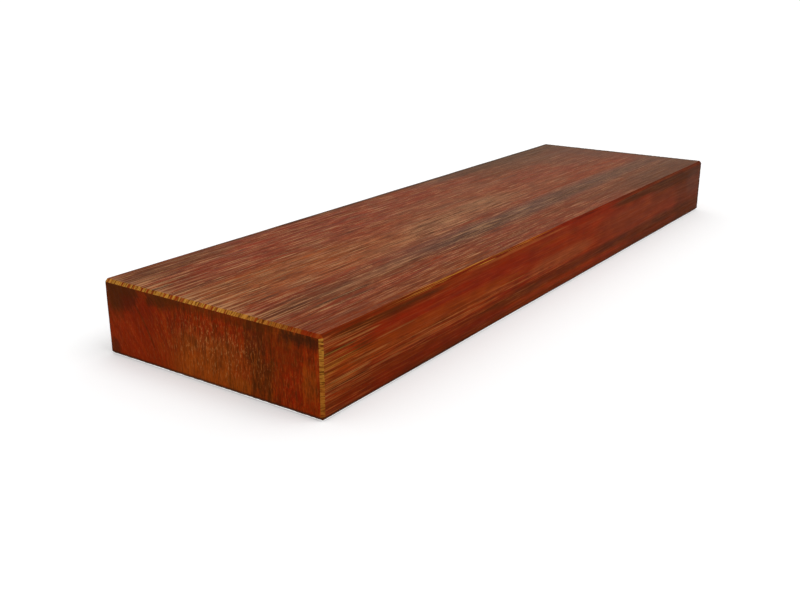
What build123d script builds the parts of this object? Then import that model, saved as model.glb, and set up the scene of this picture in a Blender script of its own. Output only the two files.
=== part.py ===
from build123d import *
import os

# A short length of planed tropical hardwood, in the five-quarter by four size
# that decking is sold in: 1 inch thick, 3 1/2 inches wide and 1 foot long.
# It is one solid piece of wood, sawn square and with every edge eased.
#
# The board lies on its underside. The origin is the centre of that face.
# X runs along the grain, Y across the width and Z up through the thickness.

# Driving dimensions, in millimetres
board_length = 304.8
board_width = 88.9
board_thickness = 25.4
# How far the narrow bevel on each edge reaches into both faces beside it
eased_edge = 1.0

# The planed section is cut to length square, and then all twelve edges are
# eased alike, so three bevels meet in a small facet at each corner.
with BuildPart() as board:
    with BuildSketch(Plane.YZ.offset(-board_length / 2)) as section:
        Rectangle(board_width, board_thickness, align=(Align.CENTER, Align.MIN))
    extrude(amount=board_length)
    chamfer(board.edges(), length=eased_edge)

board.part.label = "board"

os.makedirs("parts", exist_ok=True)
export_step(board.part, "parts/board.step")
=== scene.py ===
import bpy
import math
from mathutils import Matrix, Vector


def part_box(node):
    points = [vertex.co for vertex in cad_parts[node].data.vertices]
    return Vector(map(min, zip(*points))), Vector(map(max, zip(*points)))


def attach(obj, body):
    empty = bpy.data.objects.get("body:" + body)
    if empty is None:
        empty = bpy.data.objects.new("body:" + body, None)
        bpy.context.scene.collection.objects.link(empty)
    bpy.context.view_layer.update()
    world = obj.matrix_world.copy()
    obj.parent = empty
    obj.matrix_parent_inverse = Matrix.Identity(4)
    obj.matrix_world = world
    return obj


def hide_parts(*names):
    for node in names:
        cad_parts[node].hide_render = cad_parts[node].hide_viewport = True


# A one-foot length of dense red-brown decking hardwood on a white studio floor. The board is one
# piece: its planed faces carry shallow fibre grooves, its ends show the sawn grain.
# Shapes are in metres, and the wood's figure is laid out in millimetres from the middle of the underside.

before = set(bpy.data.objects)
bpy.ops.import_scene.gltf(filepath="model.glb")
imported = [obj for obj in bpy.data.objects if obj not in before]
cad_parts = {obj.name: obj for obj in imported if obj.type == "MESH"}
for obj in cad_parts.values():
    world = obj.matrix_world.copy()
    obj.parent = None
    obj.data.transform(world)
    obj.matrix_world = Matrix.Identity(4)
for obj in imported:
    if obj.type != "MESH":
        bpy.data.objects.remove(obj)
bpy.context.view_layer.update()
boardLow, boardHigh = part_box("board")
boardLength, boardWidth, boardThickness = boardHigh - boardLow
millimetres = 1000.0  # in a metre
print("frame loaded, board is", [round(millimetres * side, 1) for side in boardHigh - boardLow], "mm")


def feed(tree, socket, value):
    if isinstance(value, bpy.types.NodeSocket):
        tree.links.new(value, socket)
    else:
        socket.default_value = value


def addNode(tree, kind, feeds, **settings):
    made = tree.nodes.new(kind)
    for name, value in settings.items():
        setattr(made, name, value)
    for key, value in feeds.items():
        feed(tree, made.inputs[key], value)
    return made


def calc(tree, operation, *values):
    feeds = dict(enumerate(values))
    return addNode(tree, "ShaderNodeMath", feeds, operation=operation).outputs[0]


def vecCalc(tree, operation, *values):
    feeds = dict(enumerate(values))
    return addNode(tree, "ShaderNodeVectorMath", feeds, operation=operation).outputs[0]


def split(tree, vector):
    return addNode(tree, "ShaderNodeSeparateXYZ", {0: vector}).outputs[:3]


def join(tree, x, y, z):
    return addNode(tree, "ShaderNodeCombineXYZ", {0: x, 1: y, 2: z}).outputs[0]


def ramp(tree, value, start, end, low=0.0, high=1.0, shape="SMOOTHSTEP"):
    # low up to the start, high from the end on, and the end may lie before the start
    feeds = {0: value, 1: start, 2: end, 3: low, 4: high}
    return addNode(tree, "ShaderNodeMapRange", feeds, interpolation_type=shape).outputs[0]


def between(tree, mask, off, on):  # off where the mask is 0, on where it is 1
    return ramp(tree, mask, 0.0, 1.0, off, on, shape="LINEAR")


def centred(tree, value):  # noise lies round a half, this brings it round nothing
    return calc(tree, "SUBTRACT", value, 0.5)


def noise(tree, place, size, detail=2.0, roughness=0.55, distortion=0.0):  # size of a feature each way
    feeds = {
        "Vector": vecCalc(tree, "DIVIDE", place, size),
        "Scale": 1.0,
        "Detail": detail,
        "Roughness": roughness,
        "Distortion": distortion,
    }
    return addNode(tree, "ShaderNodeTexNoise", feeds).outputs[0]


# The board's shape

boardShape = {
    "easedEdge": 0.0010,         # width that each bevel takes off both faces beside it
    "cellAlong": 0.004,          # mesh cell along the grain
    "cellAcross": 0.0004,        # and across it, fine enough to hold a fibre groove
    "fibreDepth": 0.00010,       # deepest groove on the planed faces
    "fibreWidth": 0.0014,
    "fibreLength": 0.055,
    "fibreStep": (0.62, 0.30),   # where the noise starts a groove, and where it is deepest
    "sawDepth": 0.00009,         # deepest mark on the sawn ends
    "sawWidth": 0.0011,
    "sawLength": 0.011,
    "sawStep": (0.66, 0.32),
    "endStep": (0.25, 0.75),     # share of the way round to the end where fibres give way to saw marks
    "roughness": 0.6,            # of both noises
    "crispAngle": 28.0,          # edges sharper than this stay crisp, in degrees
    "seed": 3.7,
}


def easedAxis(tree, unit, cells, size, ease):
    # spreads a unit cube's rows over the flat, and keeps the outermost row each side for the bevel
    row = calc(tree, "MULTIPLY", calc(tree, "ADD", unit, 0.5), cells)
    lastRow = calc(tree, "SUBTRACT", cells, 1.0)
    flatEnd = calc(tree, "SUBTRACT", calc(tree, "MULTIPLY", size, 0.5), ease)
    flatStart = calc(tree, "MULTIPLY", flatEnd, -1.0)
    flat = ramp(tree, row, 1.0, lastRow, flatStart, flatEnd, shape="LINEAR")
    before = calc(tree, "SUBTRACT", calc(tree, "MINIMUM", row, 1.0), 1.0)
    after = calc(tree, "SUBTRACT", calc(tree, "MAXIMUM", row, lastRow), lastRow)
    bevelShare = calc(tree, "ADD", before, after)
    return calc(tree, "MULTIPLY_ADD", bevelShare, ease, flat), flat


def makeBoardTree():
    tree = bpy.data.node_groups.new("planedBoard", "GeometryNodeTree")
    tree.is_modifier = True
    for name in ("Length", "Width", "Thickness", "Eased Edge", "Fibre Depth", "Fibre Width",
                 "Fibre Length", "Saw Depth", "Saw Width", "Saw Length", "Crisp Angle", "Seed"):
        tree.interface.new_socket(name, in_out="INPUT", socket_type="NodeSocketFloat")
    for name in ("Rows Along", "Rows Across", "Rows Through"):
        tree.interface.new_socket(name, in_out="INPUT", socket_type="NodeSocketInt")
    tree.interface.new_socket("Wood", in_out="INPUT", socket_type="NodeSocketMaterial")
    tree.interface.new_socket("Board", in_out="OUTPUT", socket_type="NodeSocketGeometry")
    given = tree.nodes.new("NodeGroupInput").outputs

    rows = [given[name] for name in ("Rows Along", "Rows Across", "Rows Through")]
    cube = addNode(tree, "GeometryNodeMeshCube", {
        "Size": (1.0, 1.0, 1.0),
        "Vertices X": calc(tree, "ADD", rows[0], 1.0),
        "Vertices Y": calc(tree, "ADD", rows[1], 1.0),
        "Vertices Z": calc(tree, "ADD", rows[2], 1.0),
    }).outputs["Mesh"]

    # the box, then its outer rows pulled in until the bevels are flat
    unit = split(tree, tree.nodes.new("GeometryNodeInputPosition").outputs[0])
    sides = [given["Length"], given["Width"], given["Thickness"]]
    ease = given["Eased Edge"]
    placed = [easedAxis(tree, unit[i], rows[i], sides[i], ease) for i in range(3)]
    whole = join(tree, *[pair[0] for pair in placed])
    core = join(tree, *[pair[1] for pair in placed])
    out = vecCalc(tree, "SUBTRACT", whole, core)
    outSize = [calc(tree, "ABSOLUTE", part) for part in split(tree, out)]
    reach = calc(tree, "ADD", calc(tree, "ADD", outSize[0], outSize[1]), outSize[2])
    pull = calc(tree, "DIVIDE", ease, reach)
    bevelled = vecCalc(tree, "MULTIPLY_ADD", out, join(tree, pull, pull, pull), core)

    # fibre grooves along the faces, saw marks down the ends, both cut inwards
    seeded = vecCalc(tree, "ADD", bevelled, join(tree, given["Seed"], given["Seed"], given["Seed"]))
    fibreSize = join(tree, given["Fibre Length"], given["Fibre Width"], given["Fibre Width"])
    roughness = boardShape["roughness"]
    fibreNoise = noise(tree, seeded, fibreSize, roughness=roughness)
    sawSize = join(tree, 1.0, given["Saw Width"], given["Saw Length"])
    sawNoise = noise(tree, seeded, sawSize, detail=3.0, roughness=roughness)
    endShare = calc(tree, "DIVIDE", outSize[0], reach)
    fibreShare = ramp(tree, fibreNoise, *boardShape["fibreStep"])
    fibreCut = calc(tree, "MULTIPLY", fibreShare, given["Fibre Depth"])
    sawShare = ramp(tree, sawNoise, *boardShape["sawStep"])
    sawCut = calc(tree, "MULTIPLY", sawShare, given["Saw Depth"])
    cut = ramp(tree, endShare, *boardShape["endStep"], fibreCut, sawCut, shape="LINEAR")
    inwards = vecCalc(tree, "NORMALIZE", out)
    depth = calc(tree, "MULTIPLY", cut, -1.0)
    carved = vecCalc(tree, "MULTIPLY_ADD", inwards, join(tree, depth, depth, depth), bevelled)
    lift = join(tree, 0.0, 0.0, calc(tree, "MULTIPLY", given["Thickness"], 0.5))
    resting = vecCalc(tree, "ADD", carved, lift)  # it lies on its underside
    shaped = addNode(tree, "GeometryNodeSetPosition", {"Geometry": cube, "Position": resting})

    smooth = addNode(tree, "GeometryNodeSetShadeSmooth", {0: shaped.outputs[0], 2: True},
                     domain="FACE")
    bend = tree.nodes.new("GeometryNodeInputMeshEdgeAngle").outputs["Unsigned Angle"]
    isCrisp = addNode(tree, "FunctionNodeCompare", {"A": bend, "B": given["Crisp Angle"]},
                      data_type="FLOAT", operation="GREATER_THAN").outputs[0]
    crisp = addNode(tree, "GeometryNodeSetShadeSmooth",
                    {0: smooth.outputs[0], 1: isCrisp, 2: False}, domain="EDGE")
    real = addNode(tree, "GeometryNodeRealizeInstances", {0: crisp.outputs[0]})
    done = addNode(tree, "GeometryNodeSetMaterial",
                   {"Geometry": real.outputs[0], "Material": given["Wood"]})
    tree.links.new(done.outputs[0], tree.nodes.new("NodeGroupOutput").inputs[0])
    return tree


def setInput(modifier, name, value):
    socket = next(item for item in modifier.node_group.interface.items_tree
                  if item.item_type == "SOCKET" and item.in_out == "INPUT" and item.name == name)
    modifier[socket.identifier] = value


def makeBoard(wood):
    flats = [side - 2 * boardShape["easedEdge"] for side in (boardLength, boardWidth, boardThickness)]
    cells = [boardShape["cellAlong"], boardShape["cellAcross"], boardShape["cellAcross"]]
    rows = [round(flat / cell) + 2 for flat, cell in zip(flats, cells)]  # and one for each bevel
    grower = bpy.data.objects.new("boardGrower", bpy.data.meshes.new("boardGrower"))
    bpy.context.scene.collection.objects.link(grower)
    growing = grower.modifiers.new("planedBoard", "NODES")
    growing.node_group = makeBoardTree()
    for name, value in {
        "Length": boardLength,
        "Width": boardWidth,
        "Thickness": boardThickness,
        "Eased Edge": boardShape["easedEdge"],
        "Fibre Depth": boardShape["fibreDepth"],
        "Fibre Width": boardShape["fibreWidth"],
        "Fibre Length": boardShape["fibreLength"],
        "Saw Depth": boardShape["sawDepth"],
        "Saw Width": boardShape["sawWidth"],
        "Saw Length": boardShape["sawLength"],
        "Crisp Angle": math.radians(boardShape["crispAngle"]),
        "Rows Along": rows[0],
        "Rows Across": rows[1],
        "Rows Through": rows[2],
        "Seed": boardShape["seed"],
        "Wood": wood,
    }.items():
        setInput(growing, name, value)
    view = bpy.context.evaluated_depsgraph_get()
    grown = bpy.data.meshes.new_from_object(grower.evaluated_get(view))
    bpy.data.objects.remove(grower)
    grown.name = "grainedBoard"
    board = bpy.data.objects.new("grainedBoard", grown)
    bpy.context.scene.collection.objects.link(board)
    return board


# The wood's colours, as they look under plain white light
woodTones = {
    "russet": (0.232, 0.0250, 0.0009),  # the body of the wood
    "ember": (0.230, 0.0112, 0.0004),   # its reddest bands
    "wine": (0.122, 0.0060, 0.0002),    # deep red low on the edge
    "brick": (0.256, 0.0165, 0.0003),   # body of the sawn end
    "amber": (0.265, 0.052, 0.0030),    # orange-brown bands
    "gold": (0.520, 0.240, 0.030),      # fibres that catch the light at a cut
    "straw": (0.480, 0.230, 0.095),     # their paler ends on the broad face
    "tan": (0.340, 0.140, 0.060),       # pale flares and fibres of the broad face
    "rose": (0.165, 0.032, 0.009),      # dull pinkish red towards the far end
    "copper": (0.360, 0.090, 0.018),    # pale fibres of the edges
    "rust": (0.310, 0.055, 0.003),      # and of the ends
    "fleck": (0.450, 0.165, 0.045),     # short pale rays in the sawn end
    "chestnut": (0.118, 0.032, 0.008),  # dark bands of the broad face
    "walnut": (0.080, 0.020, 0.005),    # and its dark fibres
    "smoke": (0.090, 0.045, 0.035),     # grey-brown mineral streaks
    "olive": (0.096, 0.045, 0.030),     # dull brown towards the far end
    "umber": (0.066, 0.015, 0.0008),    # dark brown streaks and lines
    "pitchAndPaintedShade": (0.030, 0.009, 0.002),     # the darkest lines, and the painted shade along the underside
    "paintedSheen": (0.240, 0.150, 0.085),      # painted sheen: a milky film on the broad face
}

# In the figure, sizes and places are in millimetres. What fades from one value to another is written as
# a ramp: where it starts, where it ends and, where they aren't 0 and 1, the values before and after.


def tone(name):
    return (*woodTones[name], 1.0)


def blend(tree, cover, under, over):
    over = tone(over) if isinstance(over, str) else over
    under = tone(under) if isinstance(under, str) else under
    feeds = {0: cover, 6: under, 7: over}  # the sockets that a mix of colours uses
    return addNode(tree, "ShaderNodeMix", feeds, data_type="RGBA").outputs[2]


def times(tree, *values):
    product = values[0]
    for value in values[1:]:
        product = calc(tree, "MULTIPLY", product, value)
    return product


def inverse(tree, value):
    return calc(tree, "SUBTRACT", 1.0, value)


patchRim = (1.5, 0.5)  # a patch fades in between these shares of its half size
patchBlunt = 4.0       # and the higher this is, the blunter its two ends are


def makePatchGroup():
    # one patch of colour drawn out along the grain, with its rim frayed by the fibres
    tree = bpy.data.node_groups.new("grainPatch", "ShaderNodeTree")
    for name in ("Along", "Across", "Middle Along", "Middle Across", "Half Length", "Half Width",
                 "Fray", "Weight"):
        tree.interface.new_socket(name, in_out="INPUT", socket_type="NodeSocketFloat")
    tree.interface.new_socket("Cover", in_out="OUTPUT", socket_type="NodeSocketFloat")
    given = tree.nodes.new("NodeGroupInput").outputs
    alongShift = calc(tree, "SUBTRACT", given["Along"], given["Middle Along"])
    along = calc(tree, "DIVIDE", alongShift, given["Half Length"])
    acrossShift = calc(tree, "SUBTRACT", given["Across"], given["Middle Across"])
    across = calc(tree, "DIVIDE", acrossShift, given["Half Width"])
    blunt = calc(tree, "POWER", calc(tree, "ABSOLUTE", along), patchBlunt)
    away = calc(tree, "SQRT", calc(tree, "MULTIPLY_ADD", across, across, blunt))
    body = ramp(tree, calc(tree, "ADD", away, given["Fray"]), *patchRim)
    cover = calc(tree, "MULTIPLY", body, given["Weight"])
    tree.links.new(cover, tree.nodes.new("NodeGroupOutput").inputs[0])
    return tree


patchGroup = makePatchGroup()


def patchCover(tree, *given):
    patch = addNode(tree, "ShaderNodeGroup", {}, node_tree=patchGroup)
    for socket, value in zip(patch.inputs, given):
        feed(tree, socket, value)
    return patch.outputs[0]


def layPatches(tree, colour, patches, along, across, fray, mask):
    for middle, halfSize, name, weight in patches:
        cover = patchCover(tree, along, across, *middle, *halfSize, fray, weight)
        colour = blend(tree, calc(tree, "MULTIPLY", cover, mask), colour, name)
    return colour


def zoneCover(tree, zones, calm, along, across, fray):
    shown = calm
    for middle, halfSize, weight in zones:
        cover = patchCover(tree, along, across, *middle, *halfSize, fray, weight)
        shown = calc(tree, "MAXIMUM", shown, cover)
    return shown


# Patches placed one by one: middle, half size, tone and weight.
# Broad face: along the board from its middle, and across it.
topPatches = [
    ((-105, -3), (54, 9), "copper", 0.56),
    ((-112, 6), (44, 7), "amber", 0.55),
    ((-112, 6), (34, 5), "copper", 0.25),
    ((-120, 22), (25, 8), "ember", 0.60),
    ((-58, 31), (36, 7), "ember", 0.45),
    ((-102, -39.5), (44, 4.5), "amber", 0.65),
    ((-114, -32.5), (27, 3), "ember", 0.60),
    ((-45, -35), (32, 4), "ember", 0.30),
    ((-10, -36), (60, 8), "chestnut", 0.22),
    ((60, 9), (26, 5), "ember", 0.35),
    ((70, 22), (50, 12), "rose", 0.35),
    ((-10, 0), (42, 9), "tan", 0.40),
    ((-15, -4), (36, 6), "tan", 0.40),
    ((5, 1.5), (13, 3.5), "tan", 0.55),
    ((44, -4), (36, 7), "tan", 0.24),
    ((10, 15), (46, 7), "tan", 0.22),
    ((-55, -9.5), (30, 4.5), "tan", 0.35),
    ((-4, 9), (14, 2.5), "olive", 0.35),
    ((34, -21), (120, 6), "smoke", 0.88),
    ((-38, -23), (24, 3.0), "pitchAndPaintedShade", 0.42),
    ((47, -22), (24, 3.2), "umber", 0.40),
    ((108, -20), (32, 3.2), "umber", 0.30),
    ((-108, -23), (42, 5), "chestnut", 0.55),
    ((-105, -23.5), (22, 1.6), "tan", 0.45),
    ((-122, -27.6), (15, 0.7), "pitchAndPaintedShade", 0.95),
    ((-148, 22.2), (5, 0.8), "pitchAndPaintedShade", 0.95),
    ((-144, 25), (9, 0.7), "straw", 0.60),
    ((-140, 19.5), (13, 0.6), "straw", 0.50),
    ((-147, 34), (6, 0.8), "straw", 0.45),
    ((-141, 30), (12, 1.6), "ember", 0.45),
    ((-22, -1.6), (28, 0.4), "umber", 0.80),
    ((-28, 0.7), (13, 0.5), "straw", 0.50),
    ((-33, -19.5), (22, 0.4), "straw", 0.55),
    ((-12, -22.5), (20, 0.35), "straw", 0.45),
    ((-128, 38), (26, 5), "chestnut", 0.60),
    ((95, 40), (74, 6), "olive", 0.85),
    ((120, 32), (46, 10), "olive", 0.60),
    ((110, 40), (60, 6), "pitchAndPaintedShade", 0.40),
    ((86, 28), (36, 8), "chestnut", 0.45),
    ((132, 13), (34, 13), "olive", 0.45),
    ((-116, -40), (44, 5), "wine", 0.30),
    ((-128, -31.2), (26, 0.40), "umber", 0.75),
    ((-118, -35.4), (32, 0.40), "umber", 0.75),
    ((-136, -38.4), (20, 0.35), "walnut", 0.70),
    ((-104, -41.8), (40, 0.40), "umber", 0.65),
    ((105, -34), (66, 11), "chestnut", 0.55),
    ((140, -24), (22, 12), "olive", 0.30),
    ((128, -38), (44, 9), "olive", 0.55),
    ((112, -40), (50, 4), "umber", 0.40),
]
# and glazes that go over its fibres
topGlazes = [
    ((-122, -40), (46, 7), "russet", 0.26),
    ((-136, -40), (20, 6), "wine", 0.20),
    ((-140, -20), (22, 10), "umber", 0.12),
    ((-138, 39), (20, 6), "umber", 0.25),
    ((105, 39), (62, 7), "umber", 0.28),
    ((116, -38), (50, 7), "umber", 0.38),
    ((142, 14), (18, 14), "umber", 0.14),
    ((150, 6), (18, 40), "smoke", 0.28),
    ((95, 34), (50, 9), "umber", 0.06),
    ((100, -39), (60, 5), "wine", 0.14),
    ((100, 30), (44, 8), "umber", 0.10),
    ((30, 43.2), (145, 1.6), "pitchAndPaintedShade", 0.80),
    ((151.0, 0), (2.2, 46), "pitchAndPaintedShade", 0.75),
]
# Narrow face: along the board, and up from the underside
edgePatches = [
    ((-118, 22.8), (30, 1.3), "umber", 0.75),
    ((-40, 24.0), (34, 0.5), "copper", 0.60),
    ((-80, 19.4), (56, 2.6), "ember", 0.75),
    ((-98, 13.8), (54, 3), "amber", 0.45),
    ((-92, 9.8), (33, 0.6), "copper", 0.50),
    ((-100, 7), (45, 1.8), "umber", 0.30),
    ((-98, 3.6), (56, 2.6), "wine", 0.62),
    ((50, 6.8), (104, 2.2), "umber", 0.60),
    ((-43, 6.5), (18, 1.8), "umber", 0.50),
    ((40, 7), (16, 1.6), "pitchAndPaintedShade", 0.40),
    ((97, 7.4), (10, 1.8), "pitchAndPaintedShade", 0.40),
    ((58, 2.6), (52, 1.6), "ember", 0.40),
    ((-6, 12.5), (26, 2.6), "tan", 0.12),
    ((-6, 12.5), (26, 2.6), "copper", 0.25),
    ((90, 15), (62, 6.5), "rose", 0.62),
    ((82, 23.2), (40, 1.9), "umber", 0.90),
    ((118, 21.6), (34, 2.3), "umber", 0.82),
    ((140, 24), (26, 2.2), "umber", 0.55),
    ((151.4, 12), (2.0, 40), "pitchAndPaintedShade", 0.75),
    ((20, 1.4), (150, 1.8), "umber", 0.48),
    ((112, 3), (66, 4.5), "umber", 0.55),
    ((142, 12), (24, 20), "umber", 0.50),
    ((144, 17), (12, 6), "olive", 0.35),
    ((108, 17.5), (24, 3.2), "umber", 0.30),
    ((-146, 19.4), (9, 0.36), "pitchAndPaintedShade", 0.90),
    ((-136, 20.6), (10, 0.30), "fleck", 0.75),
    ((-138, 16.4), (8, 0.28), "umber", 0.80),
    ((-131, 13.4), (9, 0.26), "fleck", 0.50),
    ((-140, 10.6), (9, 0.30), "fleck", 0.70),
    ((-143, 8.6), (11, 0.30), "pitchAndPaintedShade", 0.75),
    ((-124, 8.8), (9, 0.24), "fleck", 0.45),
    ((-118, 16.8), (10, 0.24), "fleck", 0.35),
]
# Sawn end: across the board, and up from the underside
endPatches = [
    ((37, 21), (8, 4), "umber", 0.40),
    ((1, 12.5), (13, 4), "copper", 0.30),
    ((-8, 8), (18, 8), "amber", 0.40),
    ((19, 18.4), (11, 1.8), "ember", 0.60),
    ((42, 3), (3, 3.5), "pitchAndPaintedShade", 0.65),
    ((44.5, 12), (1.4, 14), "pitchAndPaintedShade", 0.50),
    ((7, 12), (4.5, 2.2), "umber", 0.50),
    ((-20, 18.5), (4.6, 7), "pitchAndPaintedShade", 0.62),
    ((-22.5, 9), (4.2, 5.5), "umber", 0.65),
    ((-23, 3), (5, 3), "umber", 0.20),
    ((10, 18), (20, 2.6), "ember", 0.40),
    ((4, 5), (14, 6), "rust", 0.90),
    ((24, 7), (14, 8), "brick", 0.75),
    ((-12.5, 2.5), (5, 2.6), "amber", 0.80),
    ((-33, 6), (6, 5), "ember", 0.50),
    ((-40, 10), (2.6, 5), "amber", 0.60),
]
endGlazes = [
    ((37, 22), (8, 4.2), "pitchAndPaintedShade", 0.56),
    ((41, 18), (5, 6), "umber", 0.48),
    ((28, 18), (8, 5), "wine", 0.28),
    ((19, 22.8), (6.5, 2.8), "umber", 0.62),
    ((20, 22.6), (4.5, 2.2), "pitchAndPaintedShade", 0.35),
    ((0, 24.2), (50, 1.9), "umber", 0.52),
    ((-29, 19.5), (8, 5.5), "umber", 0.40),
    ((-37, 23), (9, 2.6), "pitchAndPaintedShade", 0.78),
    ((33, 12), (22, 20), "umber", 0.10),
    ((3, 4), (17, 7), "rust", 0.18),
]

# Zones where the fibres stand out: middle, half size and weight
topFibres = [
    ((-146, 8), (20, 44), 1.0),
    ((-100, -8), (50, 20), 0.8),
    ((-25, -5), (48, 10), 1.0),
    ((-30, -23), (60, 6), 0.85),
    ((-112, -35), (42, 9), 1.0),
    ((-20, -41), (70, 3), 0.8),
]
edgeFibres = [
    ((-146, 12), (18, 30), 1.0),
    ((-75, 10), (85, 4), 0.9),
]


# the board's sizes again, in millimetres, for the figure
halfLength, halfWidth, halfThickness = [millimetres * side / 2 for side in boardHigh - boardLow]
bevelWidth = millimetres * boardShape["easedEdge"]
lowShade = (1.7, 1.0)  # painted shade: the dark line along the underside, in bevel widths up from it


def faceMasks(tree, x, y, z):
    # 1 on each kind of face, from how far a point lies under the planes that bound the board
    toEnd = calc(tree, "SUBTRACT", halfLength, calc(tree, "ABSOLUTE", x))
    toEdge = calc(tree, "SUBTRACT", halfWidth, calc(tree, "ABSOLUTE", y))
    toFlat = calc(tree, "MINIMUM", z, calc(tree, "SUBTRACT", 2 * halfThickness, z))
    closeBy = 0.99 * bevelWidth  # the inner rim of a bevel already belongs to the face
    atEnd, atEdge, atFlat = [calc(tree, "LESS_THAN", depth, closeBy) for depth in (toEnd, toEdge, toFlat)]
    offEnd, offEdge, offFlat = [inverse(tree, mask) for mask in (atEnd, atEdge, atFlat)]
    return {
        "end": times(tree, atEnd, offEdge, offFlat),
        "edge": times(tree, atEdge, offFlat),          # the narrow faces and the bevels at their ends
        "flat": times(tree, atFlat, offEnd, offEdge),
        "endBevel": times(tree, atEnd, calc(tree, "MAXIMUM", atEdge, atFlat)),
        "longBevel": times(tree, atEdge, atFlat, offEnd),
        # painted shade: 1 close to the underside
        "low": ramp(tree, z, *[bevelWidth * share for share in lowShade]),
        "upper": calc(tree, "GREATER_THAN", z, halfThickness),
        "front": calc(tree, "LESS_THAN", y, 0.0),
        "fromNear": calc(tree, "ADD", x, halfLength),
    }


# The grain: how long and how wide one line of each kind is
grainSizes = {
    "band": (150.0, 7.0),
    "line": (60.0, 2.2),
    "thread": (38.0, 0.85),
    "vein": (60.0, 0.44),
    "hair": (18.0, 0.42),
    "pore": (5.5, 0.34),
    "speck": (2.4, 0.42),
    "mottle": (9.0, 3.0),
}
grainShape = {
    "wander": 0.8,                             # how far the lines stray sideways together
    "wanderSize": (75.0, 16.0, 16.0),
    "edgeWander": 0.4,                         # share of it on the narrow faces
    "edgeApart": 90.0,                         # keeps their lines from repeating the broad face's
    "depthScale": 0.15,                        # how slowly the lines change into the wood
    "leanAcross": (8.0, 30.0, 0.0, 0.7),       # growth lines lean at the left of the end
    "frayBand": 1.2,                           # how far each kind of line tears the rim of a patch
    "frayLine": 0.9,
    "frayThread": 0.9,
    "edgeFray": 0.55,                          # share of it on the narrow faces
    "livelyAlong": (90.0, 230.0, 1.0, 0.55),   # the figure is lively near the cut, calmer far from it
    "combFlat": 0.90,                          # fibre ends at the cut, width of one on the broad face
    "combEdge": 0.30,                          # and on the narrow one
    "combRoughness": 0.75,
    "nickSize": (1.0, 0.46, 0.46),             # fine saw nicks in the cut bevels
    "reachSize": (1.0, 1.5, 1.5),              # bunches of fibre ends of one length
    "reachShift": (9.0, 0.0, 0.0),
}


def makeGrain(tree, place, x, y, z, masks):
    # lines that run along the board on its long faces, and down its ends
    strayed = centred(tree, noise(tree, place, grainShape["wanderSize"]))
    wander = calc(tree, "MULTIPLY", strayed, 2 * grainShape["wander"])
    lean = ramp(tree, y, *grainShape["leanAcross"])
    leaned = times(tree, lean, calc(tree, "SUBTRACT", z, halfThickness), masks["end"])
    yPlain = calc(tree, "ADD", y, wander)
    yLine = calc(tree, "SUBTRACT", yPlain, leaned)
    zLine = calc(tree, "MULTIPLY_ADD", wander, grainShape["edgeWander"], z)
    zApart = calc(tree, "ADD", zLine, grainShape["edgeApart"])
    across = between(tree, masks["edge"], yLine, zApart)
    into = between(tree, masks["edge"], z, y)
    grainPlace = join(tree, x, across, calc(tree, "MULTIPLY", into, grainShape["depthScale"]))
    grain = {"yPlain": yPlain, "yLine": yLine, "zLine": zLine}
    for name, (length, width) in grainSizes.items():
        detail = 3 if width > 1 else 2  # the wider ones carry finer lines
        grain[name] = noise(tree, grainPlace, (length, width, width), detail=detail)

    # fibre ends, the same all the way in from the cut
    cutPlace = vecCalc(tree, "MULTIPLY", grainPlace, (0.0, 1.0, 1.0))
    comb = between(tree, masks["edge"], grainShape["combFlat"], grainShape["combEdge"])
    combSize = join(tree, 1.0, comb, comb)
    grain["comb"] = noise(tree, cutPlace, combSize, detail=3, roughness=grainShape["combRoughness"])
    grain["nick"] = noise(tree, cutPlace, grainShape["nickSize"])
    reachPlace = vecCalc(tree, "ADD", cutPlace, grainShape["reachShift"])
    grain["combReach"] = noise(tree, reachPlace, grainShape["reachSize"], detail=1)

    grain["lively"] = ramp(tree, masks["fromNear"], *grainShape["livelyAlong"])
    fray = calc(tree, "MULTIPLY", centred(tree, grain["band"]), grainShape["frayBand"])
    fray = calc(tree, "MULTIPLY_ADD", centred(tree, grain["line"]), grainShape["frayLine"], fray)
    fray = calc(tree, "MULTIPLY_ADD", centred(tree, grain["thread"]), grainShape["frayThread"], fray)
    grain["fray"] = times(tree, fray, grain["lively"])
    return grain


faceLook = {
    "bandStep": (0.38, 0.62),                  # ember gives way to russet
    "bandSpread": 0.35,                        # and how far either takes over
    "amberStep": (0.50, 0.68),
    "amberFlat": 0.30,                         # share of amber on the broad faces
    "amberEdge": 0.12,
    "calmFlat": 0.80,                          # share of the fibres that shows outside the lively zones
    "calmEdge": 0.35,
    "boldCalm": 0.40,                          # share of the bolder ones left in wood that is all calm
    "veinUp": (4.0, 11.0, 0.25, 1.0),          # few pale veins low on the narrow face
    "strawStep": (0.20, 1.0),                  # the palest fibres are duller where the wood is calm
}


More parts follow.
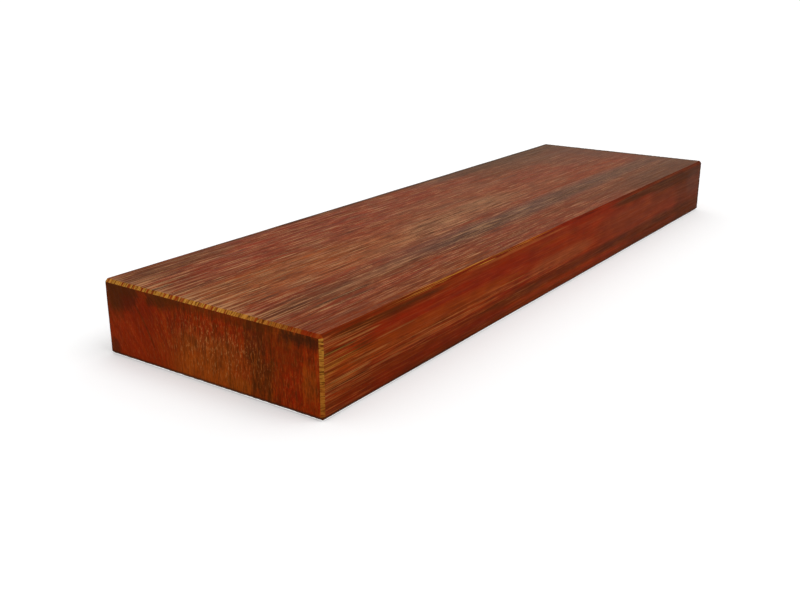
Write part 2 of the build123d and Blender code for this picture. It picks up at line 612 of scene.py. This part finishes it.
def paintLongFaces(tree, x, grain, masks):
    # broad and narrow faces: bands, then the placed patches, and where the fibres are to show
    onEdge, yLine, zLine, fray = masks["edge"], grain["yLine"], grain["zLine"], grain["fray"]
    spread = calc(tree, "MULTIPLY", grain["lively"], faceLook["bandSpread"])
    least = calc(tree, "SUBTRACT", 0.5, spread)
    most = calc(tree, "ADD", 0.5, spread)
    banded = ramp(tree, grain["band"], *faceLook["bandStep"], least, most)
    colour = blend(tree, banded, "ember", "russet")
    lined = between(tree, onEdge, faceLook["amberFlat"], faceLook["amberEdge"])
    lines = times(tree, ramp(tree, grain["line"], *faceLook["amberStep"]), lined, grain["lively"])
    colour = blend(tree, lines, colour, "amber")

    # the underside and the hidden narrow face carry theirs turned end for end
    grain["facing"] = between(tree, masks["upper"], -1.0, 1.0)
    along = calc(tree, "MULTIPLY", x, grain["facing"])
    colour = layPatches(tree, colour, topPatches, along, yLine, fray, inverse(tree, onEdge))
    topShown = zoneCover(tree, topFibres, faceLook["calmFlat"], along, yLine, fray)
    along = calc(tree, "MULTIPLY", x, between(tree, masks["front"], -1.0, 1.0))
    fray = calc(tree, "MULTIPLY", fray, grainShape["edgeFray"])
    colour = layPatches(tree, colour, edgePatches, along, zLine, fray, onEdge)
    edgeShown = zoneCover(tree, edgeFibres, faceLook["calmEdge"], along, zLine, fray)

    grain["shown"] = between(tree, onEdge, topShown, edgeShown)
    bold = between(tree, grain["lively"], faceLook["boldCalm"], 1.0)
    grain["threadShown"] = times(tree, grain["shown"], grain["shown"], bold)
    edgeVein = times(tree, edgeShown, edgeShown, ramp(tree, zLine, *faceLook["veinUp"]))
    grain["veinShown"] = between(tree, onEdge, topShown, edgeVein)
    grain["hairShown"] = times(tree, grain["shown"], bold)
    return colour


endLook = {
    "cloudSize": (1.0, 12.0, 8.0),
    "cloudDetail": 5,
    "cloudRoughness": 0.72,
    "cloudStep": (0.30, 0.50, 0.30, 1.0),      # wine gives way to brick
    "paleStep": (0.50, 0.66),                  # and brick to amber
    "paleAcross": (28.0, 6.0, 0.15, 0.60),     # with little of it at the left
    "cloudFray": 3.0,                          # how far the clouds tear the rim of a patch
    "crackPlace": (25.5, 12.0),                # one old crack that slants across the left
    "crackSize": (0.45, 7.0),
    "crackWeight": 0.6,
    "lineStep": (0.50, 0.36),
    "lineAcross": (20.0, 6.0, 0.08, 0.26),
    "rowSize": (1.0, 0.75, 6.0),
    "rowDark": (0.46, 0.34),
    "rowPale": (0.56, 0.68),
    "rowPaleShare": 0.5,
    "rowAcross": (22.0, 8.0, 0.14, 0.44),
    "raySize": (1.0, 0.38, 1.4),
    "rayShift": (40.0, 0.0, 0.0),
    "rayRoughness": 0.6,
    "rayBend": 0.5,
    "rayMiddle": (-3.0, 12.0, 0.0),            # the rays are thickest round here
    "rayField": (16.0, 7.0, 1.0),
    "rayAway": (1.8, 0.3, 0.14, 0.90),
    "rayDark": (0.44, 0.34),
    "rayDarkShare": 0.6,
    "rayPale": (0.57, 0.65),
    "fibreAcross": (32.0, 10.0, 0.40, 1.0),    # the fibres of the end are faint at the left
}


def paintEnds(tree, place, z, grain):
    # sawn ends: cloudy, with the growth lines running down and pale rays among them
    yPlain, yLine = grain["yPlain"], grain["yLine"]
    cloud = noise(tree, place, endLook["cloudSize"], endLook["cloudDetail"], endLook["cloudRoughness"])
    colour = blend(tree, ramp(tree, cloud, *endLook["cloudStep"]), "wine", "brick")
    cloudy = ramp(tree, yLine, *endLook["paleAcross"])
    colour = blend(tree, times(tree, ramp(tree, cloud, *endLook["paleStep"]), cloudy), colour, "amber")
    endFray = calc(tree, "MULTIPLY_ADD", centred(tree, cloud), endLook["cloudFray"], grain["fray"])
    grain["endFray"] = endFray
    colour = layPatches(tree, colour, endPatches, yPlain, z, endFray, 1.0)
    crack = patchCover(tree, yLine, z, *endLook["crackPlace"], *endLook["crackSize"], grain["fray"],
                       endLook["crackWeight"])
    colour = blend(tree, crack, colour, "umber")

    lined = ramp(tree, yLine, *endLook["lineAcross"])
    lines = ramp(tree, grain["line"], *endLook["lineStep"])
    colour = blend(tree, times(tree, lines, lined), colour, "umber")
    rows = noise(tree, join(tree, 0.0, yLine, z), endLook["rowSize"])
    rowed = ramp(tree, yLine, *endLook["rowAcross"])
    darkRows = times(tree, ramp(tree, rows, *endLook["rowDark"]), rowed)
    colour = blend(tree, darkRows, colour, "umber")
    paleRows = times(tree, ramp(tree, rows, *endLook["rowPale"]), rowed, endLook["rowPaleShare"])
    colour = blend(tree, paleRows, colour, "rust")

    rayPlace = vecCalc(tree, "ADD", place, endLook["rayShift"])
    ray = noise(tree, rayPlace, endLook["raySize"], 2.0, endLook["rayRoughness"], endLook["rayBend"])
    endPlace = join(tree, yPlain, z, 0.0)
    offset = vecCalc(tree, "SUBTRACT", endPlace, endLook["rayMiddle"])
    offset = vecCalc(tree, "DIVIDE", offset, endLook["rayField"])
    away = addNode(tree, "ShaderNodeVectorMath", {0: offset}, operation="LENGTH").outputs[1]
    rayed = ramp(tree, away, *endLook["rayAway"])
    darkRays = times(tree, ramp(tree, ray, *endLook["rayDark"]), rayed, endLook["rayDarkShare"])
    colour = blend(tree, darkRays, colour, "umber")
    return blend(tree, times(tree, ramp(tree, ray, *endLook["rayPale"]), rayed), colour, "fleck")


# The fibres: which noise, where they start to show and where they are full, their tone, and how strongly
# they show on a broad face, a narrow face and a sawn end
lineLooks = [
    ("thread", (0.50, 0.33), "dark", (0.40, 0.16, 0.12)),
    ("thread", (0.54, 0.70), "pale", (0.40, 0.14, 0.10)),
    ("vein", (0.46, 0.37), "dark", (0.60, 0.50, 0.00)),
    ("vein", (0.59, 0.66), "strand", (0.30, 0.56, 0.00)),
    ("hair", (0.48, 0.36), "dark", (1.00, 0.62, 0.50)),
    ("hair", (0.54, 0.65), "palest", (1.00, 0.58, 0.42)),
    ("pore", (0.40, 0.30), "pitchAndPaintedShade", (0.84, 0.50, 0.50)),
    ("speck", (0.45, 0.32), "dark", (0.50, 0.16, 0.36)),
    ("speck", (0.55, 0.68), "pale", (0.42, 0.10, 0.16)),
]


def paintLines(tree, colour, grain, masks):
    # dark and light fibres over everything, boldest near the cut end and faint on the ends
    flat = masks["flat"]
    paleElsewhere = blend(tree, masks["end"], "copper", "rust")
    palestFlat = blend(tree, ramp(tree, grain["lively"], *faceLook["strawStep"]), "tan", "straw")
    fibreTones = {
        "dark": blend(tree, flat, "umber", "walnut"),
        "pale": blend(tree, flat, paleElsewhere, "tan"),
        "palest": blend(tree, flat, paleElsewhere, palestFlat),
        "strand": blend(tree, flat, "fleck", "tan"),
    }
    endShown = ramp(tree, grain["yLine"], *endLook["fibreAcross"])
    for kind, step, fibreTone, (onFlat, onEdge, onEnd) in lineLooks:
        onLong = between(tree, masks["edge"], onFlat, onEdge)
        onLong = times(tree, onLong, grain.get(kind + "Shown", grain["shown"]))
        weight = between(tree, masks["end"], onLong, calc(tree, "MULTIPLY", endShown, onEnd))
        cover = times(tree, ramp(tree, grain[kind], *step), weight)
        colour = blend(tree, cover, colour, fibreTones.get(fibreTone, fibreTone))
    return colour


cutLook = {
    "reachStep": (0.38, 0.68, 3.0, 34.0),      # from the shortest fibre ends to the longest
    "reachEdge": 0.70,                         # share of their length on the narrow face
    "reachFade": 0.3,                          # and of it where they start to fade
    "lightStep": (0.46, 0.60),
    "goldHeight": 15.0,                        # on the narrow face they are gold round here
    "goldAway": (8.0, 3.0),
    "shineAcross": (-18.0, -36.0, 0.80, 0.15),
    "shineUp": (3.0, 9.0, 0.16, 0.40),
    "gapStep": (0.46, 0.32),                   # the dark gaps between them
    "gapAlong": (60.0, 4.0, 0.0, 0.95),
    "gapAcross": (-18.0, -40.0, 0.85, 0.70),
    "gapUp": (3.0, 9.0, 0.30, 0.60),
}


def paintCut(tree, colour, y, z, grain, masks):
    # fibre ends that catch the light for a few millimetres from the near cut, with dark gaps between
    longest = ramp(tree, grain["combReach"], *cutLook["reachStep"])
    reach = times(tree, longest, between(tree, masks["edge"], 1.0, cutLook["reachEdge"]))
    fadeStart = calc(tree, "MULTIPLY", reach, cutLook["reachFade"])
    fading = ramp(tree, masks["fromNear"], reach, fadeStart)
    light = ramp(tree, grain["comb"], *cutLook["lightStep"])
    away = calc(tree, "ABSOLUTE", calc(tree, "SUBTRACT", z, cutLook["goldHeight"]))
    edgeStraw = blend(tree, ramp(tree, away, *cutLook["goldAway"]), "fleck", "gold")
    straw = blend(tree, masks["edge"], "straw", edgeStraw)
    shine = between(tree, masks["edge"], ramp(tree, y, *cutLook["shineAcross"]),
                    ramp(tree, z, *cutLook["shineUp"]))
    colour = blend(tree, times(tree, fading, light, shine), colour, straw)
    gap = ramp(tree, grain["comb"], *cutLook["gapStep"])
    gapFade = ramp(tree, masks["fromNear"], *cutLook["gapAlong"])
    gapDepth = between(tree, masks["edge"], ramp(tree, y, *cutLook["gapAcross"]),
                       ramp(tree, z, *cutLook["gapUp"]))
    return blend(tree, times(tree, gap, gapFade, gapDepth), colour, "umber")


bevelLook = {
    "goldStep": (0.36, 0.54),                  # the cut bevels: amber gives way to gold
    "goldAcross": (-2.0, -28.0, 0.92, 0.48),
    "goldUp": (7.0, 18.0, 0.45, 0.95),
    "nickStep": (0.48, 0.39),
    "nickShare": (0.62, 0.40, 0.72, 1.00),
    "gapStep": (0.45, 0.36, 0.0, 0.75),
    "redStep": (0.50, 0.58),
    "redFlat": 0.70,                           # share of the ember stripes by the broad face
    "redEdge": 0.20,                           # and by the narrow one
    "redAcross": (-26.0, -43.0, 0.0, 0.75),    # the near corner is red all over
    "cutShare": 0.9,                           # how far the stripes cover the wood
    "threadSize": (30.0, 0.28, 0.28),          # the long bevels: threads of red and gold
    "threadStep": (0.44, 0.58),
    "dullNear": (70.0, 20.0, 0.0, 0.45),
    "dullFar": (150.0, 240.0, 0.0, 0.66),
    "goldFrom": (25.0, 55.0),
    "goldUntil": (150.0, 100.0),
    "goldThread": (0.52, 0.58),
    "goldShare": 0.85,
    "longShare": 0.8,
    "paintedShadeShare": 0.80,                          # how dark the painted shade is close to the underside
}


def paintBevels(tree, colour, place, y, z, grain, masks):
    # cut bevels gold with dark stripes, the long ones in thin threads, painted shade on the lower ones
    golden = between(tree, masks["edge"], ramp(tree, y, *bevelLook["goldAcross"]),
                     ramp(tree, z, *bevelLook["goldUp"]))
    golden = times(tree, ramp(tree, grain["comb"], *bevelLook["goldStep"]), golden)
    stripes = blend(tree, golden, "amber", "gold")
    nicked = ramp(tree, grain["line"], *bevelLook["nickShare"])
    nicks = times(tree, ramp(tree, grain["nick"], *bevelLook["nickStep"]), nicked)
    stripes = blend(tree, nicks, stripes, "umber")
    stripes = blend(tree, ramp(tree, grain["comb"], *bevelLook["gapStep"]), stripes, "umber")
    ruddy = between(tree, masks["edge"], bevelLook["redFlat"], bevelLook["redEdge"])
    ruddy = times(tree, ramp(tree, grain["combReach"], *bevelLook["redStep"]), ruddy)
    stripes = blend(tree, ruddy, stripes, "ember")
    reddened = times(tree, ramp(tree, y, *bevelLook["redAcross"]), inverse(tree, masks["edge"]))
    stripes = blend(tree, reddened, stripes, "ember")
    colour = blend(tree, times(tree, masks["endBevel"], bevelLook["cutShare"]), colour, stripes)

    fromNear = masks["fromNear"]
    threads = noise(tree, place, bevelLook["threadSize"])
    longTone = blend(tree, ramp(tree, threads, *bevelLook["threadStep"]), "wine", "ember")
    dull = calc(tree, "MAXIMUM", ramp(tree, fromNear, *bevelLook["dullNear"]),
                ramp(tree, fromNear, *bevelLook["dullFar"]))
    longTone = blend(tree, dull, longTone, "umber")
    golden = times(tree, ramp(tree, fromNear, *bevelLook["goldFrom"]),
                   ramp(tree, fromNear, *bevelLook["goldUntil"]))
    golden = times(tree, ramp(tree, threads, *bevelLook["goldThread"]), golden, bevelLook["goldShare"])
    longTone = blend(tree, golden, longTone, "gold")
    colour = blend(tree, times(tree, masks["longBevel"], bevelLook["longShare"]), colour, longTone)
    # painted shade: pitch over the lower bevels, where the floor shades them
    shaded = times(tree, masks["low"], inverse(tree, masks["flat"]), bevelLook["paintedShadeShare"])
    return blend(tree, shaded, colour, "pitchAndPaintedShade")


surfaceLook = {
    "mottleStep": (0.30, 0.70, 0.84, 1.16),    # soft light and dark clouds in all of it
    "edgeShade": 0.93,                         # the narrow faces are a touch darker
    "paintedSheenNear": 0.05,                          # share of the painted milky sheen on the broad face
    "paintedSheenFar": 0.19,
    "roughStep": (0.3, 0.7, 0.62, 0.50),
    "specular": 0.016,
    "hairBump": 0.6,                           # share of the hairs in the bump, beside the threads
    "bumpStrength": 0.5,
    "bumpHeight": 0.00012,
}


def makeWood():
    wood = bpy.data.materials.new("figuredHardwood")
    wood.use_nodes = True
    tree = wood.node_tree
    tree.nodes.clear()
    metres = tree.nodes.new("ShaderNodeTexCoord").outputs["Object"]
    place = vecCalc(tree, "MULTIPLY", metres, (millimetres, millimetres, millimetres))
    x, y, z = split(tree, place)
    masks = faceMasks(tree, x, y, z)
    grain = makeGrain(tree, place, x, y, z, masks)

    colour = paintLongFaces(tree, x, grain, masks)
    colour = blend(tree, masks["end"], colour, paintEnds(tree, place, z, grain))
    colour = paintLines(tree, colour, grain, masks)
    longColour = paintCut(tree, colour, y, z, grain, masks)
    along = calc(tree, "MULTIPLY", x, grain["facing"])
    longColour = layPatches(tree, longColour, topGlazes, along, grain["yLine"], grain["fray"],
                            masks["flat"])
    endColour = layPatches(tree, colour, endGlazes, grain["yPlain"], z, grain["endFray"], 1.0)
    colour = blend(tree, masks["end"], longColour, endColour)
    colour = paintBevels(tree, colour, place, y, z, grain, masks)

    mottled = ramp(tree, grain["mottle"], *surfaceLook["mottleStep"], shape="LINEAR")
    mottled = times(tree, mottled, between(tree, masks["edge"], 1.0, surfaceLook["edgeShade"]))
    colour = addNode(tree, "ShaderNodeHueSaturation", {"Value": mottled, "Color": colour}).outputs[0]
    # painted sheen: a milky film over the broad faces, growing towards the far end
    paintedSheen = ramp(tree, masks["fromNear"], 0.0, 2 * halfLength, surfaceLook["paintedSheenNear"],
                surfaceLook["paintedSheenFar"])
    colour = blend(tree, times(tree, paintedSheen, masks["flat"]), colour, "paintedSheen")

    height = calc(tree, "MULTIPLY_ADD", grain["hair"], surfaceLook["hairBump"], grain["thread"])
    bump = addNode(tree, "ShaderNodeBump", {
        "Strength": surfaceLook["bumpStrength"],
        "Distance": surfaceLook["bumpHeight"],
        "Height": height,
    })
    shader = addNode(tree, "ShaderNodeBsdfPrincipled", {
        "Base Color": colour,
        "Roughness": ramp(tree, grain["thread"], *surfaceLook["roughStep"], shape="LINEAR"),
        "Specular IOR Level": surfaceLook["specular"],
        "Normal": bump.outputs[0],
    })
    tree.links.new(shader.outputs[0], tree.nodes.new("ShaderNodeOutputMaterial").inputs[0])
    return wood


board = makeBoard(makeWood())
print("board grown:", len(board.data.vertices), "vertices,", len(board.data.polygons), "faces")


# The studio: a white floor under soft light

studio = {
    "floorReach": 40.0,       # half the floor's side
    "floorTone": 0.90,
    "floorLift": 0.24,        # lifts the floor to white for the eye and for reflections
    "openingInset": 0.0008,   # the floor is open under the board, so that its underside can be seen
    "skyStrength": 0.76,
    "keyStrength": 0.65,
    "keySpread": 40.0,        # degrees across, for soft shadows
    "keyPlace": (0.3, -0.9, 1.7),
}


def seenDirectly(tree):  # 1 for what the camera sees, straight, mirrored or through glass
    path = tree.nodes.new("ShaderNodeLightPath").outputs
    seen = calc(tree, "MAXIMUM", path["Is Camera Ray"], path["Is Glossy Ray"])
    return calc(tree, "MAXIMUM", seen, path["Is Transmission Ray"])


def makeFloor():
    reach = studio["floorReach"]
    inset = studio["openingInset"]
    xs = [-reach, boardLow.x + inset, boardHigh.x - inset, reach]
    ys = [-reach, boardLow.y + inset, boardHigh.y - inset, reach]
    corners = [(x, y, boardLow.z) for y in ys for x in xs]
    # four corners a row, and a tile from each but the one under the board
    starts = [4 * j + i for j in range(3) for i in range(3) if (i, j) != (1, 1)]
    tiles = [(start, start + 1, start + 5, start + 4) for start in starts]
    mesh = bpy.data.meshes.new("studioFloor")
    mesh.from_pydata(corners, [], tiles)
    floor = bpy.data.objects.new("studioFloor", mesh)
    bpy.context.scene.collection.objects.link(floor)

    paper = bpy.data.materials.new("whitePaper")
    paper.use_nodes = True
    tree = paper.node_tree
    tree.nodes.clear()
    shade = studio["floorTone"]
    matt = addNode(tree, "ShaderNodeBsdfDiffuse", {"Color": (shade, shade, shade, 1.0)})
    lift = calc(tree, "MULTIPLY", seenDirectly(tree), studio["floorLift"])
    glow = addNode(tree, "ShaderNodeEmission", {"Strength": lift})
    lit = addNode(tree, "ShaderNodeAddShader", {0: matt.outputs[0], 1: glow.outputs[0]})
    clear = tree.nodes.new("ShaderNodeBsdfTransparent")
    under = tree.nodes.new("ShaderNodeNewGeometry").outputs["Backfacing"]
    both = addNode(tree, "ShaderNodeMixShader", {0: under, 1: lit.outputs[0], 2: clear.outputs[0]})
    tree.links.new(both.outputs[0], tree.nodes.new("ShaderNodeOutputMaterial").inputs[0])
    mesh.materials.append(paper)


def makeLight():
    sky = bpy.data.worlds.new("softSky")
    bpy.context.scene.world = sky
    sky.use_nodes = True
    tree = sky.node_tree
    tree.nodes.clear()
    strength = between(tree, seenDirectly(tree), studio["skyStrength"], 1.0)
    white = (1.0, 1.0, 1.0, 1.0)
    glow = addNode(tree, "ShaderNodeBackground", {"Color": white, "Strength": strength})
    tree.links.new(glow.outputs[0], tree.nodes.new("ShaderNodeOutputWorld").inputs[0])

    lamp = bpy.data.lights.new("softKey", "SUN")
    lamp.energy = studio["keyStrength"]
    lamp.angle = math.radians(studio["keySpread"])
    key = bpy.data.objects.new("softKey", lamp)
    key.location = studio["keyPlace"]
    key.rotation_euler = (-key.location).to_track_quat("-Z", "Y").to_euler()
    bpy.context.scene.collection.objects.link(key)


# The camera stands off the board's near right corner, a little above it
camera = {
    "place": (-0.3363, -0.1990, 0.1173),   # from the middle of the underside
    "heading": 35.04,                      # degrees from the board's length towards its width
    "dip": 18.86,                          # degrees below level
    "fieldOfView": 45.0,
    "sensorWidth": 36.0,
    "clip": (0.01, 200.0),
}


def makeCamera():
    lens = bpy.data.cameras.new("photoView")
    lens.sensor_fit = "HORIZONTAL"
    lens.sensor_width = camera["sensorWidth"]
    lens.angle = math.radians(camera["fieldOfView"])
    lens.clip_start, lens.clip_end = camera["clip"]
    eye = bpy.data.objects.new("photoView", lens)
    eye.location = camera["place"]
    tilt = math.radians(90 - camera["dip"])
    turn = math.radians(camera["heading"] - 90)
    eye.rotation_euler = (tilt, 0.0, turn)
    bpy.context.scene.collection.objects.link(eye)
    bpy.context.scene.camera = eye


makeFloor()
makeLight()
makeCamera()
bpy.context.scene.view_settings.view_transform = "Standard"
print("studio set")

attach(board, "root")
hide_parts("board")
